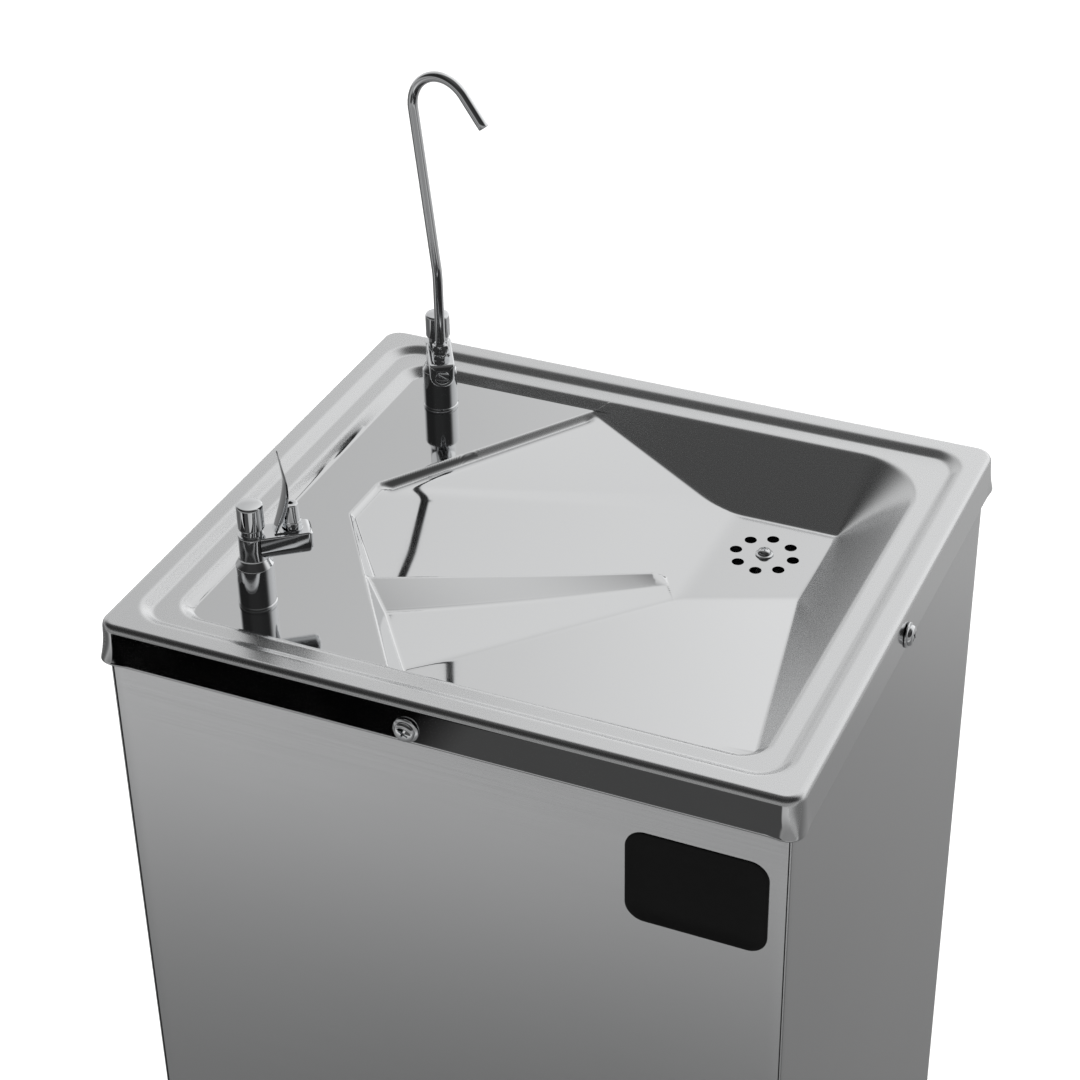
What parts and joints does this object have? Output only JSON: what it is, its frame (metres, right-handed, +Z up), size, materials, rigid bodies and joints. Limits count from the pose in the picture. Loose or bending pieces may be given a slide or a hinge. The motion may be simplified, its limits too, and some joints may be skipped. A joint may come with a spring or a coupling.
{
  "type": "drinking fountain",
  "caption": "Free-standing chilled drinking fountain: sloped steel basin with push-button jet tap and gooseneck cup filler on a sheet-metal cabinet.",
  "frame": {"origin": "centre of the cabinet footprint on the floor", "axes": "+Z up, front panel faces -Y, +X to the right seen from the front"},
  "size_m": [0.3418, 0.3068, 1.1443],
  "materials": {
    "mirror_steel": "polished",
    "satin_steel": "brushed",
    "zinc_steel": "matt zinc plated",
    "rubber": "matt",
    "chrome": "polished",
    "spring_steel": "bright drawn wire",
    "brass": "machined",
    "black_plastic": "fine texture",
    "white_plastic": "satin",
    "foam": "cellular foam",
    "blue_plastic": "gloss",
    "tube_plastic": "translucent",
    "copper": "drawn copper",
    "black_paint": "semi-gloss black enamel"
  },
  "bodies": {
    "cabinet": {"basin_top": "mirror_steel", "front_panel": "satin_steel", "left_side_panel": "satin_steel", "right_side_panel": "satin_steel", "rear_panel": "satin_steel", "base_tray": "zinc_steel", "rubber_feet": "rubber", "base_bolts": "zinc_steel", "skirt_screws": "chrome", "panel_screws": "chrome", "front_label": "black_plastic", "drain_screw": "chrome", "drain_gasket": "rubber", "drain_cup": "white_plastic", "drain_hose": "tube_plastic", "drain_outlet": "black_plastic", "jet_tap_body": "chrome", "jet_tap_spring": "spring_steel", "jet_nozzle": "chrome", "mouth_guard": "chrome", "filler_tap_body": "chrome", "filler_tap_spring": "spring_steel", "spout_nut": "chrome", "tap_washers": "rubber", "tap_locknuts": "brass", "tank_shelf": "zinc_steel", "cold_tank": "satin_steel", "evaporator_coil": "copper", "insulation_front": "foam", "insulation_rear": "foam", "compressor_shell": "black_paint", "compressor_base_plate": "black_paint", "compressor_grommets": "rubber", "compressor_terminal_cover": "black_plastic", "condenser_tube": "black_paint", "condenser_wires": "black_paint", "filter_drier": "copper", "capillary_line": "copper", "suction_line": "copper", "discharge_line": "copper", "thermostat_body": "black_plastic", "thermostat_sensor_line": "copper", "water_inlet_fitting": "brass", "water_filter_head": "blue_plastic", "water_filter_bowl": "white_plastic", "water_filter_cartridge": "white_plastic", "filter_bracket": "zinc_steel", "supply_line": "tube_plastic", "filtered_water_line": "tube_plastic", "cold_water_lines": "tube_plastic", "cord_gland": "black_plastic", "terminal_block": "white_plastic"},
    "jet_button": {"jet_tap_button": "chrome", "jet_tap_stem": "brass"},
    "filler_button": {"filler_tap_button": "chrome", "filler_tap_stem": "brass"},
    "jet_regulator": {"jet_tap_regulator": "chrome"},
    "filler_regulator": {"filler_tap_regulator": "chrome"},
    "gooseneck": {"gooseneck_spout": "chrome"},
    "thermostat_control": {"thermostat_knob": "black_plastic"}
  },
  "joints": [
    {"name": "jet_button_press", "type": "slide", "parent": "cabinet", "child": "jet_button", "axis": [0, 0, -1], "range_m": [0, 0.003], "stiffness_N_per_m": 800, "springref_m": -0.004, "deforming": ["jet_tap_spring"]},
    {"name": "filler_button_press", "type": "slide", "parent": "cabinet", "child": "filler_button", "axis": [0, 0, -1], "range_m": [0, 0.003], "stiffness_N_per_m": 800, "springref_m": -0.004, "deforming": ["filler_tap_spring"]},
    {"name": "jet_regulator_turn", "type": "hinge", "parent": "cabinet", "child": "jet_regulator", "pos_m": [-0.112, -0.097, 0.9836], "axis": [0.7986, 0.6018, 0], "range_deg": [0, 270]},
    {"name": "filler_regulator_turn", "type": "hinge", "parent": "cabinet", "child": "filler_regulator", "pos_m": [-0.112, 0.097, 0.9836], "axis": [0.5, -0.866, 0], "range_deg": [0, 270]},
    {"name": "gooseneck_swivel", "type": "hinge", "parent": "cabinet", "child": "gooseneck", "pos_m": [-0.1032, 0.08176, 0.987], "axis": [0, 0, 1], "range_deg": [-60, 60]},
    {"name": "thermostat_turn", "type": "hinge", "parent": "cabinet", "child": "thermostat_control", "pos_m": [0.07, 0.1455, 0.24], "axis": [0, 1, 0], "range_deg": [0, 300]}
  ]
}
